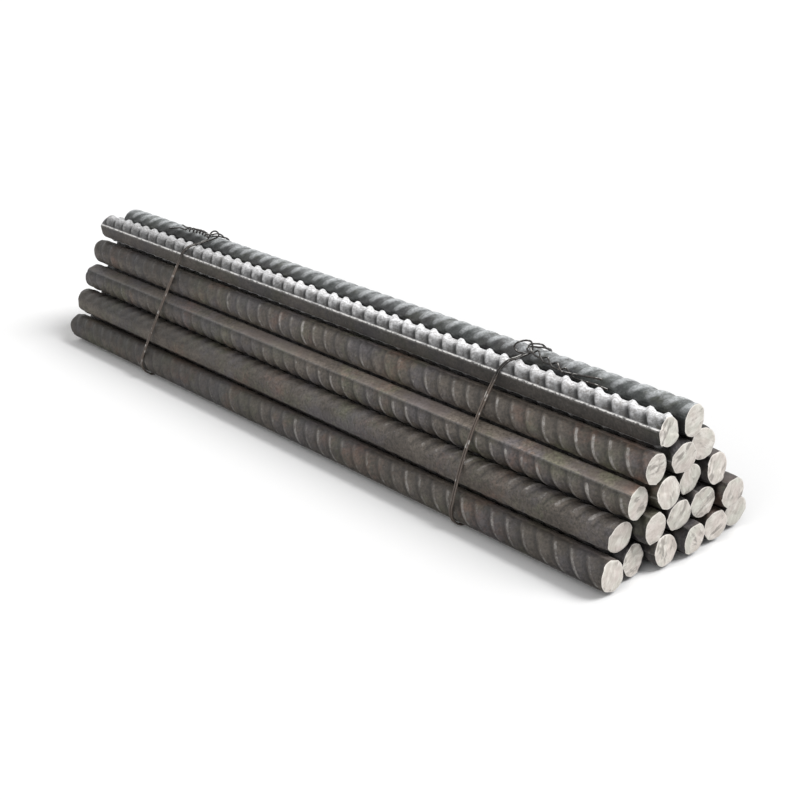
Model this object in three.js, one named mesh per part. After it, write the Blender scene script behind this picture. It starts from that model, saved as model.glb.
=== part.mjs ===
// A bundle of short deformed reinforcing bars. Twenty bars lie in a close-packed pile, six at the
// bottom and two on top, held by two tie wires. Each tie is one length of soft wire, folded double,
// drawn once round the pile and closed on top: the fold stands up as an eye, the two free ends pass
// through it and are twisted into a pigtail that lies along the bars.
//
// Millimetres. X runs along the bars towards the front end, Z is up, and Z = 0 is the floor. The
// origin is under the middle of the bundle. The bars' ribs are fine relief and are left off: each
// bar is the envelope that its ribs touch, with the two smooth flats that run along it.

import * as THREE from "three";

// ---- Bars ----
const BAR_LENGTH = 800;
const BAR_DIAMETER = 28.3; // over the ribs, for bars of 25 mm nominal diameter
const FLAT_WIDTH = 14.2; // width of each of the two smooth flats
const FACET_ANGLE = 8; // degrees of arc that one facet of a bar's round sides covers

// ---- Seats ----
const SEAT_GAP = 0.3; // between pieces that touch
const STRAND_GAP = 0.5; // between a tie's two strands where they run side by side

// ---- Tie wires ----
const WIRE_DIAMETER = 1.6;
const WIRE_SIDES = 8;
const TIE_INSET = 165; // from the bars' nominal ends to the ties' places
const CORNER_STEP = 10; // degrees of bend between two rings of the wire as it rounds a bar
const TWIST_STEPS = 14; // rings of the wire in one turn of a pigtail
const LEAD_STEPS = 3; // rings of the wire between two points of a lead

const BAR_STEEL = { color: 0x5d5653, roughness: 0.62, metalness: 0.75 };
const WIRE_STEEL = { color: 0x4b4542, roughness: 0.5, metalness: 0.8 };

// The pile, bottom row first and each row from left to right as seen from the front end. roll is
// the direction that a bar's flat faces, in degrees from +Y towards +Z; front and back are how far
// its ends stand out past the nominal length.
const PILE = [
  [
    { roll: 70, front: -3, back: -3.5 },
    { roll: 25, front: -7.5, back: 2 },
    { roll: 145, front: -0.5, back: -4 },
    { roll: 90, front: 4, back: 6 },
    { roll: 35, front: 1.5, back: 1 },
    { roll: 150, front: -2, back: -2 },
  ],
  [
    { roll: 165, front: -7.5, back: 0 },
    { roll: 88, front: 1.5, back: -3 },
    { roll: 30, front: 0, back: 2.5 },
    { roll: 150, front: 0, back: -1 },
    { roll: 95, front: 6, back: 3 },
  ],
  [
    { roll: 103, front: -3, back: -0.5 },
    { roll: 32, front: 1.5, back: 1 },
    { roll: 148, front: -1.5, back: -2 },
    { roll: 90, front: 1.5, back: 4 },
  ],
  [
    { roll: 57, front: 1.5, back: 0.5 },
    { roll: 28, front: 4, back: -1.5 },
    { roll: 150, front: -1.5, back: 2 },
  ],
  [
    { roll: 7, front: 1, back: 2.5 },
    { roll: 0, front: 1, back: 1 },
  ],
];

// The ties. Each lies on the four corner bars in turn, from the top right one down and round to the
// top left one: corners are where it meets and leaves each, bows how far it strays between them, in
// millimetres along X from the tie's own place. A knot's points are [along, across, up] from its
// foot in wire diameters, along being towards the nearer end of the bars. Its eye goes from one
// strand round to the other, and its closings from the top right bar through the eye to the pigtail,
// whose strands start out at the twist's own angle in degrees.
const TIES = [
  {
    name: "tie_wire_front",
    end: 1,
    corners: [
      [8.6, 2.6],
      [3, 2],
      [0, -0.4],
      [-1.5, 4.5],
    ],
    bows: [2, 0, -5.5],
    knot: {
      at: [6, 1],
      liftOff: 75,
      twist: { radius: 1.45, pitch: 13.4, start: 40 },
      eye: [
        [-1.25, -5, 0.2],
        [-1.3, -2.25, 0],
        [-3.3, -0.6, -0.65],
        [-6.55, -0.35, -1.15],
        [-9.2, -0.25, -1.3],
        [-11.05, -0.05, -0.6],
        [-11.7, 0.1, 0.9],
        [-10.6, 0.4, 2.6],
        [-7.4, 0.75, 4.5],
        [-3, 1.25, 5.9],
        [-0.5, 1.25, 5.75],
        [0.45, 1.05, 4.25],
        [0.9, 0.6, 2.4],
        [0.55, -0.85, 0.6],
        [0.2, -3.1, 0.25],
        [-0.05, -5.6, 0.15],
      ],
      closings: [
        [
          [1.2, 7.5, 2.85],
          [0.5, 4.4, 4.15],
          [-0.7, 2.25, 4.4],
          [-1, 0.75, 4.45],
          [-0.35, -0.6, 4.65],
          [1, -1.7, 4.5],
          [2.25, -2.1, 3.65],
          [3.45, -2.1, 2.15],
        ],
        [
          [2.6, 7.5, 1.6],
          [0.9, 4.7, 2.25],
          [-0.9, 2.5, 2.75],
          [-1.9, 0.75, 2.9],
          [-1.5, -0.8, 2.5],
          [-0.35, -1.7, 2.15],
          [1.15, -1.55, 1.4],
          [2.4, -0.35, 1.15],
          [3.55, 0.7, 1.95],
        ],
      ],
      pigtail: [
        [4.7, -0.6, 1.85],
        [9.9, -0.6, 0.15],
        [16.45, -0.6, -1],
        [23.45, -0.6, -2.3],
      ],
      tails: [
        [
          [25.6, 0.55, -2.55],
          [27.8, -0.25, -3.85],
          [30.6, -0.6, -4.35],
          [35.6, -0.6, -4.6],
          [44.4, -0.5, -4.25],
          [52.5, -0.35, -4.65],
        ],
        [
          [27.2, -1.3, -2.75],
          [31.55, -0.05, -2.75],
          [36.55, 1.1, -2.6],
          [41.9, 1.9, -2.15],
          [46.55, 2.25, -1.85],
        ],
      ],
    },
  },
  {
    name: "tie_wire_back",
    end: -1,
    corners: [
      [11, 5.5],
      [0, -2],
      [-5, -5.5],
      [1.5, 9.5],
    ],
    bows: [-2, 0, -1],
    knot: {
      at: [10, 1],
      liftOff: 75,
      twist: { radius: 1.15, pitch: 9.6, start: 40 },
      eye: [
        [-0.25, -5.6, 0.25],
        [-0.5, -2.5, 0.5],
        [-2.8, -0.5, 1.25],
        [-5.95, 0.1, 2.65],
        [-8.65, 0.7, 4],
        [-9.9, 1, 5.1],
        [-9.8, 1.25, 6.2],
        [-8.25, 1.4, 7.25],
        [-4.75, 1.3, 7.15],
        [-1, 1.2, 5.1],
        [0, 0.5, 2.75],
        [0.7, -1.1, 1.15],
        [1.15, -3.1, 0.45],
        [1.05, -5.6, 0.25],
      ],
      closings: [
        [
          [-3.5, 7.5, 2.75],
          [-4.05, 4.4, 4.5],
          [-3.45, 2.35, 4.7],
          [-3.1, 0.85, 4.6],
          [-2.6, -0.55, 4.75],
          [-1.25, -1.45, 4.95],
          [1, -1.45, 4.7],
          [2.6, -1.1, 3.7],
        ],
        [
          [-1.95, 7.5, 1.4],
          [-3.55, 4.7, 2.6],
          [-4.45, 2.5, 3.45],
          [-4.25, 0.85, 3.75],
          [-3.4, -0.45, 3.5],
          [-1.5, -1.2, 3.25],
          [0.25, -1.4, 2.95],
          [1.6, -0.35, 2.65],
          [2.75, 0.8, 3.1],
        ],
      ],
      pigtail: [
        [3.85, 0.3, 3.4],
        [8.75, 1.5, 3.25],
        [14.7, 2.6, 2.6],
        [20.85, 3.3, 1.9],
        [26.45, 3.6, 1.4],
        [31.65, 3.6, 0.9],
      ],
      tails: [
        [
          [37.5, 2.6, 0.65],
          [44.4, 2, -0.6],
          [50.6, 1.6, -1.85],
        ],
        [
          [35, 4.5, 1.5],
          [38.75, 5, 1.9],
        ],
      ],
    },
  },
];

// ---- Worked out from the driving dimensions ----
const barRadius = BAR_DIAMETER / 2;
const wireRadius = WIRE_DIAMETER / 2;
const barPitch = BAR_DIAMETER + SEAT_GAP;
const rowRise = (barPitch * Math.sqrt(3)) / 2;
const strandPitch = WIRE_DIAMETER + STRAND_GAP;
const bottomRowHeight = WIRE_DIAMETER + SEAT_GAP + barRadius; // the bottom bars rest on the wires
const wrapRadius = barRadius + SEAT_GAP + wireRadius; // of the wire's centre round a corner bar
const radians = THREE.MathUtils.degToRad;

/** Centre of a bar in the YZ plane, as [y, z]. */
function barCentre(row, column) {
  const first = -((PILE[row].length - 1) / 2) * barPitch;
  return [first + column * barPitch, bottomRowHeight + row * rowRise];
}

/** Section of a bar: a circle with a flat on each of two opposite sides, the first facing +X. */
function barSection() {
  const half = Math.asin(FLAT_WIDTH / 2 / barRadius);
  const facets = Math.ceil((Math.PI - 2 * half) / radians(FACET_ANGLE));
  const outline = new THREE.Shape();
  for (const side of [0, Math.PI]) {
    for (let i = 0; i <= facets; i++) {
      const angle = side + half + ((Math.PI - 2 * half) * i) / facets;
      const point = [barRadius * Math.cos(angle), barRadius * Math.sin(angle)];
      if (side === 0 && i === 0) outline.moveTo(...point);
      else outline.lineTo(...point);
    }
  }
  return outline;
}

/** One bar of the pile, sawn square at both ends. */
function makeBar(row, column) {
  const { roll, front, back } = PILE[row][column];
  const length = BAR_LENGTH + front + back;
  const geometry = new THREE.ExtrudeGeometry(barSection(), { depth: length, bevelEnabled: false });
  geometry.rotateZ(radians(roll));
  geometry.applyMatrix4(
    new THREE.Matrix4().makeBasis(
      new THREE.Vector3(0, 1, 0),
      new THREE.Vector3(0, 0, 1),
      new THREE.Vector3(1, 0, 0),
    ),
  );
  const bar = new THREE.Mesh(geometry, new THREE.MeshStandardMaterial(BAR_STEEL));
  bar.name = `bar_row${row + 1}_${column + 1}`;
  bar.position.set(-BAR_LENGTH / 2 - back, ...barCentre(row, column));
  return bar;
}

/** A wire's centre line, sampled at its own points, with one side kept facing out of the pile. */
class WireRoute extends THREE.Curve {
  constructor(stations) {
    super();
    this.stations = stations;
  }

  getPoint(t, target = new THREE.Vector3()) {
    return target.copy(this.stations[Math.round(t * (this.stations.length - 1))].point);
  }

  getPointAt(u, target) {
    return this.getPoint(u, target);
  }

  getTangentAt(u, target = new THREE.Vector3()) {
    const last = this.stations.length - 1;
    const here = Math.round(u * last);
    const before = this.stations[Math.max(here - 1, 0)].point;
    const after = this.stations[Math.min(here + 1, last)].point;
    const middle = this.stations[here].point;
    const arriving = middle.clone().sub(before).normalize();
    const leaving = after.clone().sub(middle).normalize();
    return target.copy(arriving).add(leaving).normalize();
  }

  /** Turns the frames so that, wherever a station names its outward side, a facet faces it. */
  computeFrenetFrames(segments) {
    const frames = super.computeFrenetFrames(segments, false);
    const facet = (2 * Math.PI) / WIRE_SIDES;
    const turns = this.stations.map(({ outward }, i) => {
      if (!outward) return null;
      const { normals, binormals } = frames;
      const angle = Math.atan2(outward.dot(binormals[i]), outward.dot(normals[i]));
      return angle - Math.round(angle / facet) * facet;
    });
    const known = turns.flatMap((turn, i) => (turn === null ? [] : [i]));
    turns.forEach((turn, i) => {
      const next = known.find((k) => k >= i) ?? known[known.length - 1];
      const previous = known.findLast((k) => k <= i) ?? known[0];
      const share = next === previous ? 0 : (i - previous) / (next - previous);
      const angle = THREE.MathUtils.lerp(turns[previous], turns[next], share);
      frames.normals[i].applyAxisAngle(frames.tangents[i], angle);
      frames.binormals[i].applyAxisAngle(frames.tangents[i], angle);
    });
    return frames;
  }
}

/** A smooth line through points given by hand, as stations with no side of their own. */
function lead(points) {
  const curve = new THREE.CatmullRomCurve3(points, false, "centripetal");
  return curve.getPoints(LEAD_STEPS * (points.length - 1)).map((point) => ({ point }));
}

/** Where a tie's own place is along X. */
function tiePlace(tie) {
  return tie.end * (BAR_LENGTH / 2 - TIE_INSET);
}

/** One strand round the pile, from the top right bar down, underneath and up to the top left. */
function wrap(tie, offset) {
  const top = PILE.length - 1;
  const bars = [
    barCentre(top, PILE[top].length - 1),
    barCentre(0, PILE[0].length - 1),
    barCentre(0, 0),
    barCentre(top, 0),
  ];
  const slope = THREE.MathUtils.radToDeg(Math.atan2(bars[3][1] - bars[2][1], bars[3][0] - bars[2][0]));
  const arcs = [
    [tie.knot.liftOff, 90 - slope],
    [90 - slope, -90],
    [-90, slope - 270],
    [slope - 270, -270],
  ];
  const stations = [];
  arcs.forEach(([from, to], corner) => {
    const steps = Math.ceil((from - to) / CORNER_STEP);
    const [y, z] = bars[corner];
    const [meeting, leaving] = tie.corners[corner].map((place) => tiePlace(tie) + place);
    for (let i = 0; i <= steps; i++) {
      const angle = radians(THREE.MathUtils.lerp(from, to, i / steps));
      const outward = new THREE.Vector3(0, Math.cos(angle), Math.sin(angle));
      const along = THREE.MathUtils.lerp(meeting, leaving, i / steps) + offset;
      const point = outward.clone().multiplyScalar(wrapRadius).add(new THREE.Vector3(along, y, z));
      stations.push({ point, outward });
    }
    if (corner === 3) return;
    const start = stations[stations.length - 1];
    const next = bars[corner + 1];
    const gain = tiePlace(tie) + tie.corners[corner + 1][0] - leaving;
    const span = new THREE.Vector3(gain, next[0] - y, next[1] - z);
    for (const share of [0.25, 0.5, 0.75]) {
      const point = start.point.clone().addScaledVector(span, share);
      point.x += tie.bows[corner] * 4 * share * (1 - share);
      stations.push({ point, outward: start.outward });
    }
  });
  return stations;
}

/** Turns [along, across, up] from a knot's foot, in wire diameters, into a point of the bundle. */
function fromFoot(tie, [along, across, up]) {
  const [x, y] = tie.knot.at;
  return new THREE.Vector3(
    tiePlace(tie) + x + tie.end * along * WIRE_DIAMETER,
    y + across * WIRE_DIAMETER,
    barCentre(PILE.length - 1, 0)[1] + wrapRadius + up * WIRE_DIAMETER,
  );
}

/** A lead that goes on smoothly from one list of stations and into another, without their points. */
function join(tie, before, points, after) {
  const ends = (stations) => stations.map((station) => station.point);
  const between = points.map((point) => fromFoot(tie, point));
  return lead([...ends(before), ...between, ...ends(after)]).slice(
    LEAD_STEPS * (before.length - 1) + 1,
    after.length ? -LEAD_STEPS * (after.length - 1) - 1 : undefined,
  );
}

/** The pigtail: two strands twisted round one axis, as two lists of stations from the knot out. */
function makePigtail(tie) {
  const { pigtail, twist } = tie.knot;
  const axis = new THREE.CatmullRomCurve3(
    pigtail.map((point) => fromFoot(tie, point)),
    false,
    "centripetal",
  );
  const turns = axis.getLength() / (twist.pitch * WIRE_DIAMETER);
  const steps = Math.round(turns * TWIST_STEPS);
  const across = new THREE.Vector3(0, 1, 0);
  return [-1, 1].map((side) => {
    const reach = side * twist.radius * WIRE_DIAMETER;
    const stations = [];
    for (let i = 0; i <= steps; i++) {
      const tangent = axis.getTangentAt(i / steps);
      const first = across.clone().addScaledVector(tangent, -across.dot(tangent)).normalize();
      const second = tangent.clone().cross(first).multiplyScalar(tie.end);
      const angle = radians(twist.start) + 2 * Math.PI * turns * (i / steps);
      const point = axis.getPointAt(i / steps);
      point.addScaledVector(first, reach * Math.cos(angle));
      point.addScaledVector(second, reach * Math.sin(angle));
      stations.push({ point });
    }
    return stations;
  });
}

/** One half of a tie: from its free end, through the pigtail and the eye and round the pile. */
function makeStrand(tie, index) {
  const side = index === 0 ? -1 : 1; // the first strand is the one further from the pigtail
  const round = wrap(tie, (side * tie.end * strandPitch) / 2);
  const twist = makePigtail(tie)[index];
  const closing = join(tie, [round[1], round[0]], tie.knot.closings[index], twist.slice(0, 2));
  const tail = join(tie, twist.slice(-2), tie.knot.tails[index], []);
  return [...tail.reverse(), ...twist.reverse(), ...closing.reverse(), ...round];
}

/** The wire's section: a regular polygon, as wide across its flats as the wire is thick. */
function wireSection() {
  const corner = wireRadius / Math.cos(Math.PI / WIRE_SIDES);
  const section = new THREE.Shape();
  for (let i = 0; i < WIRE_SIDES; i++) {
    const angle = (2 * Math.PI * (i + 0.5)) / WIRE_SIDES;
    const point = [corner * Math.cos(angle), corner * Math.sin(angle)];
    if (i === 0) section.moveTo(...point);
    else section.lineTo(...point);
  }
  return section;
}

/** One tie: a single wire from one free end round to the other, folded at the eye. */
function makeTie(tie) {
  const [first, second] = [0, 1].map((index) => makeStrand(tie, index));
  const eye = join(tie, first.slice(-2), tie.knot.eye, second.slice(-2).reverse());
  const stations = [...first, ...eye, ...second.reverse()];
  const geometry = new THREE.ExtrudeGeometry(wireSection(), {
    steps: stations.length - 1,
    extrudePath: new WireRoute(stations),
  });
  const wire = new THREE.Mesh(geometry, new THREE.MeshStandardMaterial(WIRE_STEEL));
  wire.name = tie.name;
  return wire;
}

const group = new THREE.Group();
PILE.forEach((bars, row) => bars.forEach((_, column) => group.add(makeBar(row, column))));
TIES.forEach((tie) => group.add(makeTie(tie)));

export default group;
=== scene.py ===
"""A tied bundle of twenty short ribbed reinforcing bars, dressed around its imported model.

Metres in Blender; the classes below hold their sizes in millimetres, and MM turns them into metres.
X runs along the bars towards the front end, Z is up, and Z = 0 is the floor.
"""

from __future__ import annotations

import logging
import math
import random
from collections.abc import Callable, Sequence
from dataclasses import dataclass, field, replace
from enum import Enum
from types import SimpleNamespace

import bpy
from bpy.types import ID, Material, Mesh, Node, NodeSocket, NodeTree, Object
from mathutils import Matrix, Vector

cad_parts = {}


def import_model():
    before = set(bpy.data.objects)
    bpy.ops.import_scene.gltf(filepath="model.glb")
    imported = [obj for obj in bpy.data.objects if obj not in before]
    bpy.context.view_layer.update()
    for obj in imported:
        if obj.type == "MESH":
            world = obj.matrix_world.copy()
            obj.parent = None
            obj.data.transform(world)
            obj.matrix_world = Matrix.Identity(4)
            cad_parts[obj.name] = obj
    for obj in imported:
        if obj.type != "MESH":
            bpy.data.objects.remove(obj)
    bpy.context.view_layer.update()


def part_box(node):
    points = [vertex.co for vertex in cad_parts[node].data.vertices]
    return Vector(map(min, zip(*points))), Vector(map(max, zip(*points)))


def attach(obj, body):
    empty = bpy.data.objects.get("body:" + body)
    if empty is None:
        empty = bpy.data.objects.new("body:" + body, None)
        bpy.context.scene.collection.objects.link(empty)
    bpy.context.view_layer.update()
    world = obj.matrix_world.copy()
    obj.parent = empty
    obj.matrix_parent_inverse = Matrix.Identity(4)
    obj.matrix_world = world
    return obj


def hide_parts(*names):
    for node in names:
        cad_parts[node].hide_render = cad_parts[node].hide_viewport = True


LOG = logging.getLogger("rebar_bundle")
MM = 0.001
TURN = 2 * math.pi
BODY = "root"
BAR_DIAMETER = 28.3

Colour = tuple[float, float, float]
Point = tuple[float, float, float]
Span = tuple[float, float]


class Slot(Enum):
    """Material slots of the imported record."""

    BAR = "bar_steel"
    WIRE = "wire_steel"


class Detail(Enum):
    """How finely a bar is meshed: rows to one rib, columns to one ribbed side, rings to an end."""

    OUTER = (10, 19, 9)
    INNER = (8, 12, 7)


class Skin(Enum):
    """State of a bar's rolled surface."""

    DULL = "bar_skin_dull"
    # The bottom near bar, darker as a whole.
    GRIMY = "bar_skin_darker"
    CAKED = "bar_skin_caked"
    # Inner bars: dark scale, darker still as painted shade among the bars.
    SCALED = "bar_skin_scaled_and_shaded"
    RUBBED = "bar_skin_rubbed"
    GREENED = "bar_skin_greened"


# --- Node trees ---


def _operator(operation: str, swapped: bool = False) -> Callable[..., Field]:
    """A method that adds a Math node for a field and what follows it, in that order or swapped."""
    return lambda one, *rest: one.graph.maths(operation, *((*rest, one) if swapped else (one, *rest)))


class Field:
    """What a socket carries, such as a number or a vector; arithmetic on it adds nodes to its graph."""

    __add__, __radd__ = _operator("ADD"), _operator("ADD", swapped=True)
    __sub__, __rsub__ = _operator("SUBTRACT"), _operator("SUBTRACT", swapped=True)
    __mul__, __rmul__ = _operator("MULTIPLY"), _operator("MULTIPLY", swapped=True)
    __truediv__, __rtruediv__ = _operator("DIVIDE"), _operator("DIVIDE", swapped=True)
    at_least, at_most = _operator("MAXIMUM"), _operator("MINIMUM")
    above, below = _operator("GREATER_THAN"), _operator("LESS_THAN")
    __abs__, __round__ = _operator("ABSOLUTE"), _operator("ROUND")
    cosine, sine = _operator("COSINE"), _operator("SINE")

    def __init__(self, graph: Graph, socket: NodeSocket) -> None:
        """Holds a graph and one of its output sockets."""
        self.graph = graph
        self.socket = socket

    def __neg__(self) -> Field:
        """Opposite."""
        return self * -1.0

    def ease(self, low: Value, high: Value, start: Value = 0.0, end: Value = 1.0) -> Field:
        """Smooth step from start at low to end at high."""
        feeds = {"Value": self, "From Min": low, "From Max": high, "To Min": start, "To Max": end}
        return self.graph.result("ShaderNodeMapRange", "Result", feeds, interpolation_type="SMOOTHSTEP")

    def pick(self, off: Value, on: Value) -> Field:
        """Blend of two numbers: 0 gives off and 1 gives on."""
        feeds = {"Factor": self, "A": off, "B": on}
        return self.graph.result("ShaderNodeMix", "Result", feeds, data_type="FLOAT")

    def parts(self) -> tuple[Field, ...]:
        """The three numbers of a vector."""
        made = self.graph.node("ShaderNodeSeparateXYZ", {0: self})
        return tuple(Field(self.graph, socket) for socket in made.outputs)

    def stretched(self, *factors: float) -> Field:
        """A vector multiplied part by part."""
        return self.graph.result("ShaderNodeVectorMath", 0, {0: self, 1: factors}, operation="MULTIPLY")

    def noise(self, scale: Value, detail: float = 3.0, seed: Value = 0.0, rough: float = 0.5) -> Field:
        """Smooth noise from 0 to 1 at a vector; detail counts its octaves and rough weighs the finer ones."""
        feeds = {"Vector": self, "W": seed, "Scale": scale, "Detail": detail, "Roughness": rough}
        return self.graph.result("ShaderNodeTexNoise", 0, feeds, noise_dimensions="4D")


Value = Field | float | int
Feeds = dict[str | int, object]


class Graph:
    """A node tree under construction, with short ways to add its nodes and sums."""

    def __init__(self, tree: NodeTree) -> None:
        """Holds the tree that nodes are added to."""
        self.tree = tree

    def feed(self, made: Node, feeds: Feeds) -> None:
        """Links fields to a node's inputs, and sets the others' own values.

        Args:
            made: The node.
            feeds: Fields or values by the input's name or place. A colour is given without its alpha.
        """
        for key, value in feeds.items():
            socket = made.inputs[key]
            if isinstance(value, Field):
                self.tree.links.new(value.socket, socket)
            else:
                socket.default_value = (*value, 1.0) if socket.type == "RGBA" else value

    def node(self, kind: str, feeds: Feeds | None = None, **settings: object) -> Node:
        """Adds a node.

        Args:
            kind: The node's Blender type.
            feeds: Fields or values for its inputs.
            settings: Properties of the node itself.

        Returns:
            The new node.
        """
        made = self.tree.nodes.new(kind)
        for name, setting in settings.items():
            setattr(made, name, setting)
        self.feed(made, feeds or {})
        return made

    def result(self, kind: str, output: str | int, feeds: Feeds | None = None, **settings: object) -> Field:
        """Adds a node as node() does, and gives one of its outputs."""
        return Field(self, self.node(kind, feeds, **settings).outputs[output])

    def maths(self, operation: str, *values: Value) -> Field:
        """Result of a Math node."""
        return self.result("ShaderNodeMath", 0, dict(enumerate(values)), operation=operation)

    def vector(self, *parts: Value) -> Field:
        """A vector of three numbers."""
        return self.result("ShaderNodeCombineXYZ", 0, dict(enumerate(parts)))

    def chain(self, flow: Field, *nodes: Node) -> Field:
        """Leads geometry through nodes, by the first input and output of each.

        Args:
            flow: Geometry to begin with.
            nodes: The nodes in order.

        Returns:
            The geometry that comes out.
        """
        for made in nodes:
            self.feed(made, {0: flow})
            flow = Field(self, made.outputs[0])
        return flow


class ShaderGraph(Graph):
    """A material's, a world's or a shader group's tree."""

    def millimetres(self) -> Field:
        """The shaded point in the bundle's own frame, in millimetres."""
        return self.result("ShaderNodeTexCoord", "Object").stretched(1 / MM, 1 / MM, 1 / MM)

    def attribute(self, name: str, output: str = "Fac") -> Field:
        """A named attribute of the mesh, as a number or as its Vector."""
        return self.result("ShaderNodeAttribute", output, attribute_name=name)

    def blend(self, share: Value, off: Field | Colour, on: Field | Colour, how: str = "MIX") -> Field:
        """Blend of two colours: 0 gives off and 1 gives on."""
        return self.result("ShaderNodeMix", 2, {0: share, 6: off, 7: on}, data_type="RGBA", blend_type=how)

    def shaded(self, colour: Field | Colour, level: Field) -> Field:
        """A colour times a number."""
        grey = self.result("ShaderNodeCombineColor", 0, {0: level, 1: level, 2: level})
        return self.blend(1.0, colour, grey, "MULTIPLY")

    def effect(self, name: str, **feeds: Value) -> dict[str, Field]:
        """Places one of the Effects with its inputs by name, and gives its outputs by name."""
        made = self.node("ShaderNodeGroup", feeds, node_tree=bpy.data.node_groups[name])
        return {socket.name: Field(self, socket) for socket in made.outputs}

    def bump(self, height: Field, strength: float, distance: float) -> Field:
        """Normal of a Bump node whose relief is that many millimetres deep."""
        feeds = {"Strength": strength, "Distance": distance * MM, "Height": height}
        return self.result("ShaderNodeBump", "Normal", feeds)


class Recipe:
    """A Geometry Nodes tree with named inputs, which is run once for each piece it makes."""

    def __init__(self, name: str, **inputs: str) -> None:
        """Starts a tree.

        Args:
            name: Its name.
            inputs: Names of its inputs, parted by spaces, under their kind: Float, Int or Material.
        """
        self.tree = bpy.data.node_groups.new(name, "GeometryNodeTree")
        self.graph = Graph(self.tree)
        for way in ("INPUT", "OUTPUT"):
            self.tree.interface.new_socket("geometry", in_out=way, socket_type="NodeSocketGeometry")
        for kind, names in inputs.items():
            for label in names.split():
                self.tree.interface.new_socket(label, in_out="INPUT", socket_type="NodeSocket" + kind)
        sockets = self.tree.nodes.new("NodeGroupInput").outputs
        self.given = SimpleNamespace(**{made.name: Field(self.graph, made) for made in sockets if made.name})

    def finish(self, flow: Field, *nodes: Node) -> None:
        """Leads the geometry through nodes and out of the tree."""
        self.graph.node("NodeGroupOutput", {0: self.graph.chain(flow, *nodes)})

    def run(self, name: str, base: Mesh | None = None, **values: object) -> Object:
        """Makes one piece as a plain mesh at the origin.

        Args:
            name: The piece's name.
            base: Mesh that the tree starts from, if it needs one.
            values: The tree's inputs by name.

        Returns:
            The piece, linked to the scene and without modifiers.
        """
        piece = placed(name, base or bpy.data.meshes.new(name))
        modifier = piece.modifiers.new(name, "NODES")
        modifier.node_group = self.tree
        for item in self.tree.interface.items_tree:
            if item.in_out == "INPUT" and item.name in values:
                modifier[item.identifier] = values[item.name]
        depsgraph = bpy.context.evaluated_depsgraph_get()
        mesh = bpy.data.meshes.new_from_object(
            piece.evaluated_get(depsgraph), preserve_all_data_layers=True, depsgraph=depsgraph
        )
        piece.modifiers.remove(modifier)
        piece.data = mesh
        mesh.name = name
        return piece


def placed(name: str, data: ID) -> Object:
    """Links a mesh, lamp or camera to the scene, as an object at the origin."""
    bpy.context.scene.collection.objects.link(made := bpy.data.objects.new(name, data))
    return made


# --- Effects that several finishes share ---


class Effects:
    """Shader groups, which finishes place by name. Every one is read at a point in millimetres."""

    def build(self) -> None:
        """Builds every group."""
        self._group("mottle", self._mottle, Size=30.0, Seed=0.0)
        self._group("rust", self._rust, Size=45.0, Amount=0.3, Seed=11.0)
        self._group("grain", self._grain, Size=1.2, Seed=3.0)
        self._group("wear", self._wear, Crest=0.0, Amount=0.5, Seed=21.0)

    @staticmethod
    def _group(name: str, make: Callable[..., dict[str, Field]], **inputs: float) -> None:
        """Builds a group.

        Args:
            name: The group's name.
            make: Gives its outputs by name, from the fields of its inputs in order.
            inputs: Named number inputs with their defaults; Point is added first.
        """
        tree = bpy.data.node_groups.new(name, "ShaderNodeTree")
        tree.interface.new_socket("Point", in_out="INPUT", socket_type="NodeSocketVector")
        for label, default in inputs.items():
            socket = tree.interface.new_socket(label, in_out="INPUT", socket_type="NodeSocketFloat")
            socket.default_value = default
        graph = ShaderGraph(tree)
        sockets = tree.nodes.new("NodeGroupInput").outputs
        made = make(*(Field(graph, given) for given in sockets if given.name))
        for label in made:
            tree.interface.new_socket(label, in_out="OUTPUT", socket_type="NodeSocketFloat")
        graph.node("NodeGroupOutput", made)

    @staticmethod
    def _mottle(point: Field, size: Field, seed: Field) -> dict[str, Field]:
        """Cloudy patches of a size in millimetres, over finer speckle, from 0 to 1."""
        speckle = point.noise(14.0 / size, 3.0, seed + 5.0).ease(0.32, 0.68)
        return {"Patch": point.noise(1.0 / size, 4.0, seed, 0.6).ease(0.3, 0.7), "Speckle": speckle}

    @staticmethod
    def _rust(point: Field, size: Field, amount: Field, seed: Field) -> dict[str, Field]:
        """Blooms of rust of a size in millimetres, with frayed edges, as a mask from 0 to 1."""
        level = point.noise(1.0 / size, 2.0, seed) * 0.65 + point.noise(9.0 / size, 5.0, seed, 0.7) * 0.35
        return {"Mask": (level + amount * 0.35).ease(0.65, 0.81)}

    @staticmethod
    def _grain(point: Field, size: Field, seed: Field) -> dict[str, Field]:
        """Fine pitting of scaled steel, of a size in millimetres, as a height from 0 to 1."""
        pits = point.noise(0.22 / size, 2.0, seed + 7.0).ease(0.36, 0.5)
        return {"Height": point.noise(1.0 / size, 4.0, seed, 0.65) * 0.6 + pits * 0.4}

    @staticmethod
    def _wear(point: Field, crest: Field, amount: Field, seed: Field) -> dict[str, Field]:
        """Scale rubbed off what stands proud, as a mask from 0 to 1; crest says how proud that is."""
        level = crest * 0.4 + point.noise(0.09, 3.0, seed) * 0.7 + point.noise(0.6, 3.0, seed, 0.65) * 0.6
        return {"Mask": (level + amount * 0.75).ease(1.2, 1.5)}


# --- Finishes ---


class Finish:
    """A material in the making; each kind says what feeds its Principled BSDF."""

    def material(self, name: str) -> Material:
        """Builds the finish.

        Args:
            name: The material's name.

        Returns:
            The material.
        """
        material = bpy.data.materials.new(name)
        material.use_nodes = True
        material.node_tree.nodes.clear()
        graph = ShaderGraph(material.node_tree)
        surface = graph.result("ShaderNodeBsdfPrincipled", "BSDF", self.feeds(graph))
        graph.node("ShaderNodeOutputMaterial", {"Surface": surface})
        return material

    def feeds(self, graph: ShaderGraph) -> Feeds:
        """Fields and values for the shader's inputs."""
        raise NotImplementedError


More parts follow.
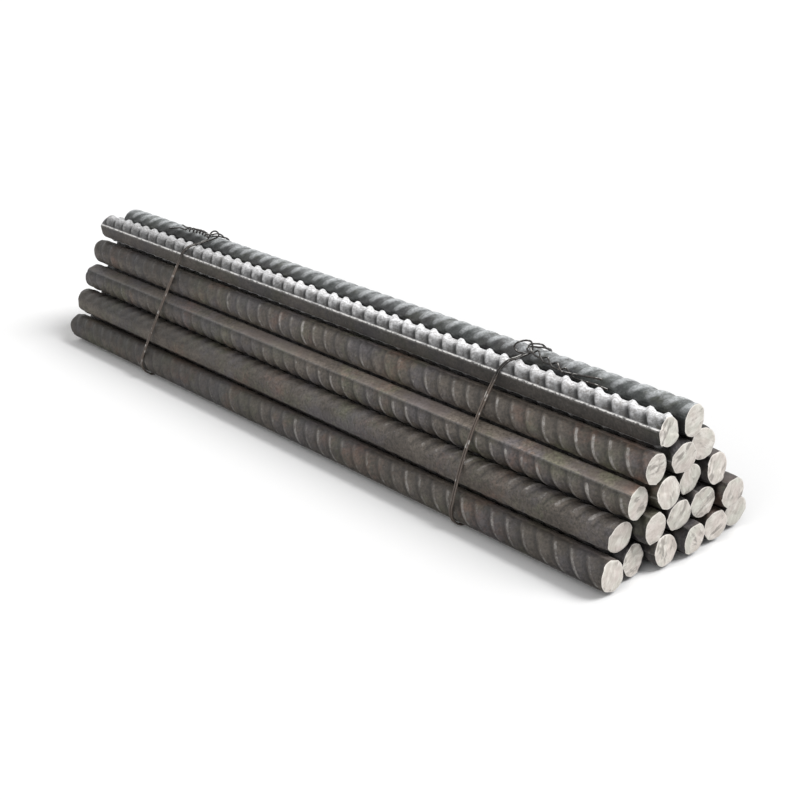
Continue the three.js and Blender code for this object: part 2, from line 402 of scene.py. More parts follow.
@dataclass(frozen=True)
class MillSkin(Finish):
    """Rolled surface of a bar: dark mill scale, patchy rust, steel bared where proud, painted light and
    shade.
    """

    scale_dark: Colour = (0.048, 0.040, 0.034)
    scale_light: Colour = (0.152, 0.130, 0.108)
    rust: Colour = (0.168, 0.103, 0.078)
    moss: Colour = (0.108, 0.110, 0.070)
    blued: Colour = (0.098, 0.091, 0.100)
    bare: Colour = (0.38, 0.36, 0.34)
    # Near-white line along a flat's raised edge: partly bared steel, partly a painted edge highlight.
    corner: Colour = (0.92, 0.90, 0.88)
    dust: Colour = (0.235, 0.195, 0.180)
    mottle_size: float = 26.0
    drawn_size: float = 9.0
    drawn_out: float = 0.12
    tone_shares: Point = (0.5, 0.25, 0.25)
    dust_share: float = 0.6
    stain_share: float = 0.7
    valley_shade: float = 0.85
    gutter_shade: float = 0.7
    # Level of flats that face aside; on the greened top bar it is painted shade in the groove beside it.
    flat_shade: float = 0.9
    # Lightening of flats that face up, more so towards the front end: partly dust, partly painted light.
    up_flat_dust_and_light: float = 2.0
    up_flat_dust_and_light_nearer: float = 1.35
    up_flat_dust_and_light_along: Span = (-50.0, 330.0)
    upper: Span = (0.3, 0.9)
    speck_shades: Span = (0.62, 1.38)
    # Rib-foot band: partly dark scale, partly painted shade of the flank turned from the light.
    rib_foot_dirt_and_shade_level: float = 0.55
    rib_foot_dirt_and_shade_fade: float = 0.0
    # Painted shade on the side turned from the light, and the facing over which it sets in.
    turned_away_painted_shade: float = 1.0
    turned_away_painted_from: Span = (0.3, 0.8)
    far_top_shade: float = 0.4
    far_side_shade: float = 1.0
    far_top_along: Span = (-330.0, 40.0)
    far_side_along: Span = (-340.0, 340.0)
    far_wear: float = 0.6
    worn_along: Span = (-180.0, 60.0)
    # How far crests keep their light within the painted shade.
    crest_lit: float = 0.0
    # Darkening of the flank under the far tie, partly a stain and partly the pigtail's painted shadow.
    tie_stain_and_shadow: float = 0.0
    tie_stain_and_shadow_at: float = -280.0
    tie_stain_and_shadow_reach: Span = (30.0, 55.0)
    # Level of the whole skin; on the inner bars it is partly painted shade among the bars.
    tone_level: float = 1.0
    # That edge line's strength where it faces up and where it faces down: partly wear, partly painted
    # highlight.
    corner_wear_and_highlight: float = 0.09
    under_corner_wear_and_highlight: float = 0.12
    # Bare steel's level in rib valleys: painted shade, lifted to full brightness where the bar faces the
    # light.
    bare_valley_painted_shade: float = 0.8
    chipped: float = 0.35
    speckle: float = 0.5
    chip_level: Span = (0.66, 0.71)
    speck_level: Span = (0.42, 0.62)
    rust_amount: float = 0.35
    wear_amount: float = 0.46
    flat_wear: float = 0.55
    crest_from: float = 0.7
    # Direction round the bar, in degrees, on which both the wear and the painted light and shade are centred.
    lit_and_worn_towards: float = 90.0
    worn_and_lit_least: float = 1.0
    worn_and_lit_facing: Span = (0.1, 0.85)
    grain: float = 1.0
    grain_depth: float = 0.2
    roughness: float = 0.52
    bare_roughness: float = 0.42
    uneven_roughness: float = 0.16
    scale_metal: float = 0.1
    bare_metal: float = 0.5

    def feeds(self, graph: ShaderGraph) -> Feeds:
        """Fields and values for the shader's inputs."""
        point = graph.millimetres()
        along, _, _ = point.parts()
        _, outward_y, outward_z = graph.attribute("outward", "Vector").parts()
        crest, flat = graph.attribute("crest"), graph.attribute("flat")
        specks = point.noise(0.5, detail=3.0, seed=61.0, rough=0.6)
        mottle = graph.effect("mottle", Point=point, Size=self.mottle_size)
        colour = self._scale(graph, point, mottle)
        # Partly dust, partly painted light: flats that face up are lightened, those that face aside take
        # flat_shade.
        flat_dust_and_light = along.ease(*self.up_flat_dust_and_light_along, self.up_flat_dust_and_light, self.up_flat_dust_and_light_nearer * self.up_flat_dust_and_light)
        flat_dust_and_light = outward_z.ease(*self.upper, self.flat_shade, flat_dust_and_light)
        ribbed = crest.pick(self.valley_shade, 1.0) * graph.attribute("gutter").pick(1.0, self.gutter_shade)
        colour = graph.shaded(colour, flat.pick(ribbed, flat_dust_and_light) * specks.ease(0.3, 0.7, *self.speck_shades))
        dust = graph.effect("rust", Point=point, Size=60.0, Amount=0.6, Seed=91.0)["Mask"]
        dust = dust * flat * outward_z.ease(*self.upper, 0.0, self.dust_share)
        colour = graph.blend(dust, colour, self.dust)

        # Partly wear, partly painted light: more steel is bared on the side that faces this direction.
        towards = math.radians(self.lit_and_worn_towards)
        facing_light_and_wear = outward_y * math.cos(towards) + outward_z * math.sin(towards)
        kept = along.ease(*self.worn_along, self.far_wear, 1.0)
        amount = flat.pick(self.wear_amount, self.flat_wear) * kept
        amount = amount * facing_light_and_wear.ease(*self.worn_and_lit_facing, self.worn_and_lit_least)
        top = crest.ease(self.crest_from, 1.0)
        chips = point.noise(0.35, detail=2.0, seed=77.0).ease(*self.chip_level)
        wear = graph.effect("wear", Point=point, Crest=top, Amount=amount)["Mask"]
        wear = wear.at_least(chips * self.chipped)
        # Painted shade and highlight: bare steel is darker in rib valleys, but fully bright where the bar
        # faces the light.
        bare = graph.shaded(self.bare, crest.ease(0.5, 1.0, facing_light_and_wear.ease(0.85, 0.98, self.bare_valley_painted_shade)))
        bare = graph.blend(specks.ease(*self.speck_level, 0.0, self.speckle), bare, colour)
        colour = graph.blend(wear, colour, bare)

        # Painted shade: the side turned from the light is darkened, and crests keep part of their light.
        turned_away_shade = facing_light_and_wear.ease(*self.turned_away_painted_from, self.turned_away_painted_shade, 1.0)
        turned_away_shade = (crest.ease(0.6, 1.0) * self.crest_lit).pick(turned_away_shade, 1.0)
        # Painted shade, with some dark scale: the rib-foot band, fainter where the bar faces the light.
        shown = facing_light_and_wear.ease(0.75, 0.98, 1.0, 1.0 - self.rib_foot_dirt_and_shade_fade) * kept
        rib_foot_dirt_and_shade = (graph.attribute("rib_foot_dirt_and_shade") * shown).pick(1.0, self.rib_foot_dirt_and_shade_level)
        colour = graph.shaded(colour, rib_foot_dirt_and_shade * turned_away_shade * self._tone_along_bars(along, outward_z, facing_light_and_wear))
        # Partly bared steel, partly painted highlight: a near-white line along a flat's raised edge, set
        # apart facing down.
        rubbed = graph.attribute("corner") * mottle["Speckle"].ease(0.15, 0.6, 0.2, 1.0)
        rubbed = rubbed * outward_z.ease(0.0, 0.3, self.under_corner_wear_and_highlight, self.corner_wear_and_highlight)
        rough = wear.pick(self.roughness, self.bare_roughness)
        grain = graph.effect("grain", Point=point)["Height"]
        return {
            "Base Color": graph.blend(rubbed, colour, self.corner),
            "Metallic": wear.pick(self.scale_metal, self.bare_metal).at_least(rubbed),
            "Roughness": rough + (mottle["Speckle"] - 0.5) * self.uneven_roughness,
            "Normal": graph.bump(grain, self.grain, self.grain_depth),
            "Specular IOR Level": 0.5,
        }

    def _scale(self, graph: ShaderGraph, point: Field, mottle: dict[str, Field]) -> Field:
        """Mottled mill scale with moss, blue and rust in patches.

        Args:
            graph: The material's tree.
            point: The shaded point in millimetres.
            mottle: The mottle's Patch and Speckle there.

        Returns:
            Its colour.
        """
        lengthwise = point.stretched(self.drawn_out, 1.0, 1.0)
        drawn = graph.effect("mottle", Point=lengthwise, Size=self.drawn_size, Seed=4.0)["Patch"]
        broad, fine, long = self.tone_shares
        tone = mottle["Patch"] * broad + mottle["Speckle"] * fine + drawn * long
        colour = graph.blend(tone, self.scale_dark, self.scale_light)
        patches = (
            (self.moss, 45.0, 0.5, 31.0),
            (self.blued, 55.0, 0.55, 53.0),
            (self.rust, 42.0, self.rust_amount, 11.0),
        )
        for tint, size, amount, seed in patches:
            mask = graph.effect("rust", Point=point, Size=size, Amount=amount, Seed=seed)["Mask"]
            colour = graph.blend(mask * self.stain_share, colour, tint)
        return colour

    def _tone_along_bars(self, along: Field, outward_z: Field, facing_light_and_wear: Field) -> Field:
        """How the skin's tone changes towards the far end and on the flank under the far tie.

        Args:
            along: Place along the bars in millimetres.
            outward_z: Upward part of the direction out of the bar.
            facing_light_and_wear: How squarely that direction points where wear and painted light come from.

        Returns:
            The factor that the colour is multiplied by.
        """
        # Towards the far end the upper part and the side each take their own factor.
        top = along.ease(*self.far_top_along, self.far_top_shade, 1.0)
        side = along.ease(*self.far_side_along, self.far_side_shade, 1.0)
        # Partly a stain and partly the pigtail's painted shadow: the flank under the far tie is darkened.
        near_tie = abs(along - self.tie_stain_and_shadow_at).ease(*self.tie_stain_and_shadow_reach, self.tie_stain_and_shadow, 0.0)
        unmarked = 1.0 - near_tie * facing_light_and_wear.ease(0.42, 0.7, 1.0, 0.0)
        return outward_z.ease(0.1, 0.6).pick(side, top) * self.tone_level * unmarked


FINISHES = {
    Skin.DULL: MillSkin(),
    # The bottom near bar is darker as a whole, and its side darker towards the far end.
    Skin.GRIMY: MillSkin(tone_level=0.73, far_side_shade=0.85),
    Skin.CAKED: MillSkin(tone_level=1.07, rib_foot_dirt_and_shade_level=0.5, far_wear=0.3, worn_along=(60.0, 290.0)),
    # Partly dark scale, partly painted shade: the inner bars are darker to stand for the shade among them.
    Skin.SCALED: MillSkin(
        scale_dark=(0.026, 0.022, 0.020), scale_light=(0.085, 0.075, 0.068),
        wear_amount=0.3, flat_wear=0.3, up_flat_dust_and_light=1.2, tone_level=0.6,
    ),
    # The top bar's bare steel is near-white, partly a painted sheen of its crests.
    Skin.RUBBED: MillSkin(
        scale_dark=(0.078, 0.067, 0.059), scale_light=(0.240, 0.211, 0.185), bare=(0.98, 0.98, 0.99),
        rib_foot_dirt_and_shade_level=0.1, rib_foot_dirt_and_shade_fade=0.85, turned_away_painted_shade=0.28, turned_away_painted_from=(0.62, 1.0), corner_wear_and_highlight=1.0,
        under_corner_wear_and_highlight=0.0, gutter_shade=1.0, flat_shade=1.0, far_top_shade=0.62, far_side_shade=2.0,
        far_wear=1.0, crest_lit=0.3, bare_valley_painted_shade=0.74, rust_amount=0.1, wear_amount=1.12, flat_wear=0.0,
        crest_from=0.2, lit_and_worn_towards=80.0, worn_and_lit_least=0.75, grain=0.5, bare_roughness=0.6,
    ),
    Skin.GREENED: MillSkin(
        scale_dark=(0.060, 0.068, 0.068), scale_light=(0.19, 0.205, 0.200), bare=(0.60, 0.62, 0.63),
        rib_foot_dirt_and_shade_level=0.7, turned_away_painted_shade=0.5, turned_away_painted_from=(0.35, 0.85), corner_wear_and_highlight=0.0, under_corner_wear_and_highlight=0.0,
        gutter_shade=1.0, flat_shade=0.4, far_top_shade=1.0, far_wear=1.0, tie_stain_and_shadow=0.72, bare_valley_painted_shade=0.65,
        speckle=0.55, rust_amount=0.05, wear_amount=0.94, flat_wear=0.0, crest_from=0.32,
        lit_and_worn_towards=62.0, worn_and_lit_least=0.5, grain=0.5, bare_roughness=0.6, bare_metal=0.4,
    ),
}


@dataclass(frozen=True)
class ShearedFace(Finish):
    """Cut end of a bar: pale steel smeared along the blade's travel, with dark creases and a bright rim."""

    pale: Colour = (0.695, 0.645, 0.585)
    bright: Colour = (0.90, 0.86, 0.80)
    smear: Colour = (0.38, 0.35, 0.32)
    pink: Colour = (0.74, 0.64, 0.60)
    green: Colour = (0.66, 0.70, 0.61)
    roughness: float = 0.5
    uneven_roughness: float = 0.3
    metal: float = 0.3
    relief_depth: float = 0.6

    def feeds(self, graph: ShaderGraph) -> Feeds:
        """Fields and values for the shader's inputs."""
        point = graph.millimetres()
        disc = graph.attribute("disc", "Vector")
        streak = disc.stretched(0.7, 1.7, 1.0).noise(2.2, detail=4.0, rough=0.62)
        broad = disc.stretched(0.6, 1.3, 1.0).noise(1.5, detail=3.0, seed=9.0)
        tint = disc.noise(0.8, detail=1.0, seed=17.0)
        specks = point.noise(0.8, detail=2.0, seed=71.0, rough=0.6)
        layers = (
            (tint.ease(0.5, 0.66, 0.0, 0.4), self.pink),
            (tint.ease(0.5, 0.34, 0.0, 0.35), self.green),
            (broad.ease(0.53, 0.64) * streak.ease(0.62, 0.44) * 0.85, self.smear),
            (specks.ease(0.62, 0.75, 0.0, 0.5), self.smear),
            (graph.attribute("rim").ease(0.9, 0.985, 0.0, 0.8), self.bright),
        )
        colour = graph.blend(streak.ease(0.4, 0.66), self.pale, self.bright)
        for share, layer in layers:
            colour = graph.blend(share, colour, layer)
        grain = graph.effect("grain", Point=point, Size=0.9)["Height"]
        return {
            "Base Color": colour,
            "Metallic": self.metal,
            "Roughness": self.roughness + (streak - 0.5) * self.uneven_roughness,
            "Normal": graph.bump(grain * 0.4 + streak * 0.8 + broad * 0.8, 1.0, self.relief_depth),
        }


@dataclass(frozen=True)
class AnnealedWire(Finish):
    """Soft black tie wire with a little rust, and highlights that are partly rubbed steel and partly painted.
    """

    dark: Colour = (0.012, 0.011, 0.010)
    light: Colour = (0.055, 0.050, 0.046)
    # Colour of the wire's upper side and glints: partly rubbed steel, partly painted highlight.
    rubbed: Colour = (0.86, 0.84, 0.80)
    rust: Colour = (0.185, 0.145, 0.120)
    rust_band: Span = (122.0, 104.0)
    rust_fade: Span = (45.0, 90.0)
    rust_share: float = 0.7
    metal: float = 0.1
    gloss: float = 0.35
    roughness: Span = (0.25, 0.5)

    def feeds(self, graph: ShaderGraph) -> Feeds:
        """Fields and values for the shader's inputs."""
        point = graph.millimetres()
        _, _, height = point.parts()
        _, _, up = graph.result("ShaderNodeNewGeometry", "Normal").parts()
        mottle = graph.effect("mottle", Point=point, Size=14.0, Seed=2.0)
        bloom = graph.effect("rust", Point=point, Size=22.0, Amount=0.45, Seed=41.0)["Mask"]
        rust = height.ease(*self.rust_band, 0.0, self.rust_share) + bloom * 0.2
        rust = rust * height.ease(*self.rust_fade, self.rust_share, 1.0)
        # Partly rubbed steel, partly painted highlight: the upper side is lightened in broken stretches, plus
        # glints.
        broken = point.noise(0.22, detail=1.0, seed=83.0).ease(0.5, 0.6)
        upper = up.ease(0.8, 0.97) * broken * (1.0 - rust)
        glints = point.noise(0.16, detail=1.0, seed=87.0).ease(0.62, 0.68, 0.0, 0.4) * up.ease(-0.3, 0.5)
        colour = graph.blend(mottle["Patch"] * 0.6 + mottle["Speckle"] * 0.4, self.dark, self.light)
        colour = graph.blend(rust, colour, self.rust)
        grain = graph.effect("grain", Point=point, Size=0.5)["Height"]
        return {
            "Base Color": graph.blend(upper.at_least(glints), colour, self.rubbed),
            "Metallic": self.metal,
            "Roughness": rust.pick(*self.roughness),
            "Normal": graph.bump(grain, 0.4, 0.05),
            "Specular IOR Level": self.gloss,
        }


# --- Bars ---


@dataclass(frozen=True)
class Column:
    """Where a column of the rolled grid lies.

    turn is its angle round the bar from the first flat's middle, and angle the same within its own
    half of the bar. on_flat is 1 on a flat, and second is 1 in the second half.
    """

    turn: Field
    angle: Field
    on_flat: Field
    second: Field


@dataclass
class BarRecipe:
    """The rolled form of every bar, as one Geometry Nodes tree. Arcs are in degrees."""

    diameter: float = BAR_DIAMETER
    flat_width: float = 14.2
    rib_pitch: float = 17.3
    longest_lead: float = 60.0
    first_rib: Point = (0.1, 0.52, 0.84)
    second_rib: Point = (0.12, 0.9, 0.9)
    # Rib-foot band (dark scale and painted shade): place from a crest on each half, in ribs, and half width.
    rib_foot_dirt_and_shade: Span = (-0.29, 0.38)
    rib_foot_dirt_and_shade_half: float = 0.14
    row_ease: float = 0.4
    rib_end_arc: float = 20.0
    rib_end_height: float = 0.5
    rib_foot: float = 0.12
    edge_arc: Span = (1.5, 8.0)
    proud_edge: Span = (0.2, 0.6)
    corner_arc: float = 5.0
    gutter_arc: Span = (9.0, 22.0)
    pressed_length: float = 5.0
    pressed_height: float = 0.55
    crushed_length: float = 9.0
    crushed_depth: float = 0.4
    crushed_bulge: float = 1.0
    column_ease: float = 0.62
    flat_columns: int = 5
    flat_ease: float = 0.3
    rib_variation: float = 0.16
    skin_wobble: float = 0.16
    rollover: float = 0.55
    crease_depth: float = 1.0
    face_roughness: float = 0.8
    weld: float = 0.01
    crease_width: Span = (-0.1, 0.12)
    crease_waver: float = 0.9
    waver_scale: float = 1.4
    rough_scale: float = 2.6
    rolled_least: float = 0.65
    rolled_more: float = 0.35
    rolled_from: float = 0.9
    wobble_scales: Span = (0.02, 1.4)
    dent_scale: float = 1.1
    crest_corner: float = 0.84
    plain_from: float = 0.45
    side_id: float = 997.0
    first_id: float = 5000.0

    recipe: Recipe = field(init=False)

    @property
    def radius(self) -> float:
        """Radius over the ribs."""
        return self.diameter / 2

    @property
    def flat_half(self) -> float:
        """Half of the angle that a flat takes up, in radians."""
        return math.asin(self.flat_width / self.diameter)

    @property
    def side_turn(self) -> float:
        """Half of a side's arc, as a share of a turn."""
        return 0.25 - self.flat_half / TURN

    @property
    def longest_reach(self) -> float:
        """How far ahead of its middle a rib may run at the side's edge."""
        return self.longest_lead * self.side_turn

    def build(self) -> None:
        """Builds the tree: a grid rolled into a tube along the ribs, closed by its two cut faces."""
        self.recipe = Recipe(
            "ribbed_bar",
            Int="rows rings columns",
            Float="row_step front back centre_y centre_z roll rib_phase rib_stagger first_lead second_lead "
            "core_diameter rib_height edge_1 edge_2 edge_3 edge_4 front_lean front_turn front_crease "
            "back_lean back_turn back_crease seed",
            Material="skin cut_face",
        )
        graph, given = self.recipe.graph, self.recipe.given
        rows, rings, phase, seed = given.rows, given.rings, given.rib_phase, given.seed
        feeds = {"Size X": 1.0, "Size Y": 1.0, "Vertices X": rows + 1, "Vertices Y": given.columns + 1}
        grid = graph.result("GeometryNodeMeshGrid", "Mesh", feeds)
        x, y, _ = graph.result("GeometryNodeInputPosition", 0).parts()
        row, column = round((x + 0.5) * rows), round((y + 0.5) * given.columns)
        at = self._column(column, given.columns)
        ahead = self._ahead(at, given)
        turned = at.turn + given.roll
        cosine, sine = turned.cosine(), turned.sine()
        ring = (row.at_most(rows - row) / rings).at_most(1.0)
        in_body = ring.above(0.9999)
        spread = (ring * (math.pi / 2)).sine()
        at_front = row.above(rows / 2)
        front_disc, front_depth = self._face(turned, spread, given, "front", seed * 3.7 + 50.0)
        back_disc, back_depth = self._face(turned, spread, given, "back", seed * 3.7)
        rim_front, rim_back = given.front - front_depth, given.back + back_depth

        start = graph.maths("SNAP", given.back - self.longest_reach - phase, given.row_step) - given.row_step
        turns = (start + (row - rings) * given.row_step) / self.rib_pitch
        eased = turns - ((turns - at.second * given.rib_stagger) * TURN).sine() * (self.row_ease / TURN)
        free = phase + eased * self.rib_pitch + ahead
        clamped = free.at_least(rim_back).at_most(rim_front)
        along = in_body.pick(at_front.pick(rim_back, rim_front), clamped)
        rib_place = (along - ahead - phase) / self.rib_pitch - at.second * given.rib_stagger
        before, beyond = at.angle.below(0.0), at.angle.above(math.pi / 2)
        edge = at.second.pick(
            before.pick(beyond.pick(given.edge_1, given.edge_2), given.edge_4),
            before.pick(beyond.pick(given.edge_3, given.edge_4), given.edge_2),
        )
        height = self._height(at, rib_place, given, edge)
        share = (height / given.rib_height).at_most(1.0)
        to_end = (rim_front - along).at_most(along - rim_back)
        height = height * to_end.ease(0.0, self.pressed_length, self.pressed_height, 1.0)
        side = height.pick(given.core_diameter / 2.0, self.radius)
        chord = self.radius * math.cos(self.flat_half) / at.angle.cosine()
        bulge = to_end.ease(0.0, self.crushed_length, self.crushed_bulge, 0.0)
        radius = at.on_flat.pick(side, (chord + bulge).at_most(side))
        lengthwise, round_bar = self.wobble_scales
        wobble = graph.vector(along * lengthwise, cosine * round_bar, sine * round_bar).noise(1.0, 2.0, seed)
        dent = graph.vector(cosine * self.dent_scale, sine * self.dent_scale, at_front * 9.0)
        crushed = to_end.ease(0.0, self.crushed_length, self.crushed_depth, 0.0)
        crushed = crushed * dent.noise(1.0, 1.0, seed + 3.0)
        radius = (radius - wobble * self.skin_wobble - crushed) * spread

        proud = edge.ease(*self.proud_edge)
        to_corner = abs(at.angle) / self.flat_half
        from_edge = abs(at.angle - math.pi / 2) - (math.pi / 2 - self.flat_half)
        narrow, wide = (math.radians(arc) for arc in self.gutter_arc)
        off_flat = 1.0 - at.on_flat
        from_corner = abs(at.on_flat.pick(from_edge, abs(at.angle) - self.flat_half))
        corner = from_corner.ease(0.0, math.radians(self.corner_arc), 1.0, 0.0) * proud
        # The rib-foot band on the flank turned from the light: partly dark scale, partly painted shade.
        foot = rib_place - at.second.pick(*self.rib_foot_dirt_and_shade)
        rib_foot_dirt_and_shade = abs(foot - round(foot)).ease(0.25 * self.rib_foot_dirt_and_shade_half, self.rib_foot_dirt_and_shade_half, 1.0, 0.0)
        stored = {
            "crest": share * at.on_flat.pick(1.0, to_corner.ease(self.crest_corner, 1.0)),
            "rib_foot_dirt_and_shade": rib_foot_dirt_and_shade * off_flat * (1.0 - corner),
            "corner": corner,
            "gutter": (-from_edge).ease(narrow, wide, 1.0, 0.0) * off_flat * proud,
            "flat": at.on_flat * proud.pick(to_corner.ease(self.plain_from, 1.0, 1.0, 0.0), 1.0),
            "outward": graph.vector(0.0, cosine, sine),
            "rim": spread,
            "disc": graph.result(
                "ShaderNodeMix", 1, {"Factor": at_front, 4: back_disc, 5: front_disc}, data_type="VECTOR"
            ),
        }
        stores = [
            graph.node(
                "GeometryNodeStoreNamedAttribute",
                {"Name": name, "Value": value},
                data_type="FLOAT_VECTOR" if name in ("outward", "disc") else "FLOAT",
                domain="POINT",
            )
            for name, value in stored.items()
        ]
        capture = graph.node("GeometryNodeCaptureAttribute", domain="FACE")
        capture.capture_items.new("FLOAT", "cut face")
        graph.feed(capture, {0: grid, 1: 1.0 - in_body})
        is_cut = Field(graph, capture.outputs[1]).above(0.01)
        y, z = given.centre_y + radius * cosine, given.centre_z + radius * sine
        self.recipe.finish(
            Field(graph, capture.outputs[0]),
            *stores,
            graph.node("GeometryNodeSetPosition", {"Position": graph.vector(along * MM, y * MM, z * MM)}),
            graph.node("GeometryNodeMergeByDistance", {"Distance": self.weld * MM}),
            graph.node("GeometryNodeFlipFaces"),
            graph.node("GeometryNodeSetShadeSmooth"),
            graph.node("GeometryNodeRealizeInstances"),
            graph.node("GeometryNodeSetMaterial", {"Material": given.skin}),
            graph.node("GeometryNodeSetMaterial", {"Material": given.cut_face, "Selection": is_cut}),
        )

    def _column(self, column: Field, columns: Field) -> Column:
        """Places a column of the grid round the bar.

        Args:
            column: The column's number.
            columns: How many there are in the whole round.

        Returns:
            Where it lies.
        """
        graph = column.graph
        half_columns = columns / 2
        half = graph.maths("FLOOR", (column + 0.01) / half_columns)
        local = column - half * half_columns
        on_flat = local.below(self.flat_columns - 0.5)
        across = local / self.flat_columns * 2.0 - 1.0
        chord = graph.maths("SIGN", across) * graph.maths("POWER", abs(across), self.flat_ease)
        flat_angle = graph.maths("ARCTANGENT", chord * math.tan(self.flat_half))
        share = (local - self.flat_columns) / (half_columns - self.flat_columns)
        ripple = (share * TURN).sine() * (self.column_ease / TURN)
        side_angle = (share - ripple) * (math.pi - 2 * self.flat_half) + self.flat_half
        angle = on_flat.pick(side_angle, flat_angle)
        return Column(angle + half * math.pi, angle, on_flat, graph.maths("MODULO", half, 2.0))

    def _ahead(self, at: Column, given: SimpleNamespace) -> Field:
        """How far the ribs at a column run ahead of the side's middle.

        Args:
            at: The column. A flat leads from one side's ribs over to the other's.
            given: The tree's inputs, of which the leads say how far ribs would run in a whole turn.

        Returns:
            The distance in millimetres.
        """
        own = at.second.pick(given.first_lead, given.second_lead)
        other = at.second.pick(given.second_lead, given.first_lead)
        across = at.angle * (0.5 / self.flat_half) + 0.5
        side = (at.angle - math.pi / 2) * own / TURN
        return at.on_flat.pick(side, across.pick(other, -own) * self.side_turn)

    def _height(self, at: Column, place: Field, given: SimpleNamespace, edge_height: Field) -> Field:
        """How proud the surface stands: 0 on the core, 1 on a rib's crest.

        Args:
            at: The column.
            place: Place along the bar in ribs, a whole number on a crest.
            given: The tree's inputs.
            edge_height: How proud the flats' edges stand.

        Returns:
            The height's share.
        """
        graph = place.graph
        nearest = round(place)
        off = abs(place - nearest) * 2.0
        before = place.below(nearest)
        sides = [
            off.ease(top, before.pick(ahead, behind), 1.0, 0.0)
            for top, behind, ahead in (self.first_rib, self.second_rib)
        ]
        feeds = {"ID": nearest + at.second * self.side_id + self.first_id, "Seed": given.seed}
        chance = graph.result("FunctionNodeRandomValue", 1, feeds, data_type="FLOAT")
        from_edge = (at.angle - self.flat_half).at_most(math.pi - self.flat_half - at.angle)
        rib = at.second.pick(*sides) * given.rib_height * (1.0 - chance * self.rib_variation)
        rib = rib * from_edge.ease(0.0, math.radians(self.rib_end_arc), self.rib_end_height, 1.0)
        top, foot = (math.radians(angle) for angle in self.edge_arc)
        edge = from_edge.ease(top, foot) * -edge_height + edge_height
        side = graph.maths("SMOOTH_MAX", rib, edge, self.rib_foot).at_most(1.0)
        return at.on_flat.pick(side, rib.at_least(edge_height))

    def _face(
        self, angle: Field, spread: Field, given: SimpleNamespace, end: str, offset: Field
    ) -> tuple[Field, Field]:
        """Relief of a cut face.

        Args:
            angle: The column's angle from +Y towards +Z.
            spread: Share of the way from the face's middle to its rim.
            given: The tree's inputs, of which a cut's lean is in millimetres, its turn is the way the
                blade travelled, and its crease says where that lies.
            end: front or back.
            offset: Seed of the relief's noise.

        Returns:
            The point on the face in the blade's own axes, as a share of the radius, and how deep
            the face lies under the bar's longest point.
        """
        lean, turn, crease = (getattr(given, f"{end}_{part}") for part in ("lean", "turn", "crease"))
        own = angle - turn
        travel, across = spread * own.cosine(), spread * own.sine()
        disc = angle.graph.vector(travel, across, offset)
        waver = disc.noise(self.waver_scale, 2.0, offset)
        rough = disc.noise(self.rough_scale, 3.0, offset + 1.5)
        step = (travel + (waver - 0.5) * self.crease_waver - crease).ease(*self.crease_width)
        rolled = spread.ease(self.rolled_from, 1.0) * (travel * self.rolled_more + self.rolled_least)
        depth = lean * (travel + 1.0) * 0.5 + step * self.crease_depth
        return disc, depth + rolled * self.rollover + rough * self.face_roughness


@dataclass
class Bar:
    """One bar of the pile. A cut is its lean in millimetres, the blade's way in degrees, and its crease."""

    node: str
    roll: float
    phase: float
    skin: Skin
    detail: Detail
    seed: int
    front_cut: Point
    back_cut: Point
    leads: Span = (50.0, -30.0)
    core_diameter: float = 25.4
    rib_height: float = 1.0
    edge_heights: tuple[float, ...] = (0.7, 0.7, 0.7, 0.7)
    stagger: float = 0.5

    def build(self, form: BarRecipe, skins: dict[Skin, Material], face: Material) -> None:
        """Rolls the bar where its solid lies, and lets it stand for that solid.

        Args:
            form: The bars' common form.
            skins: Materials of the rolled surface.
            face: Material of the cut ends.
        """
        rib_rows, side_columns, rings = self.detail.value
        low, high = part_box(self.node)
        back, front = low.x / MM, high.x / MM
        middle = (low + high) / 2 / MM
        step = form.rib_pitch / rib_rows
        body_rows = math.ceil((front - back + 2 * form.longest_reach) / step) + 3
        values = {f"edge_{place}": height for place, height in enumerate(self.edge_heights, 1)}
        for end, (lean, turn, crease) in (("front", self.front_cut), ("back", self.back_cut)):
            values.update({f"{end}_lean": lean, f"{end}_turn": math.radians(turn), f"{end}_crease": crease})
        piece = form.recipe.run(
            "ribbed_" + self.node, rows=body_rows + 2 * rings, rings=rings,
            columns=2 * (form.flat_columns + side_columns), row_step=step, front=front, back=back,
            centre_y=middle.y, centre_z=middle.z, roll=math.radians(self.roll), rib_phase=self.phase,
            rib_stagger=self.stagger, first_lead=self.leads[0], second_lead=self.leads[1],
            core_diameter=self.core_diameter, rib_height=self.rib_height, seed=float(self.seed),
            skin=skins[self.skin], cut_face=face, **values,
        )
        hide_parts(self.node)
        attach(piece, BODY)
        LOG.info("%s: %d faces", piece.name, len(piece.data.polygons))


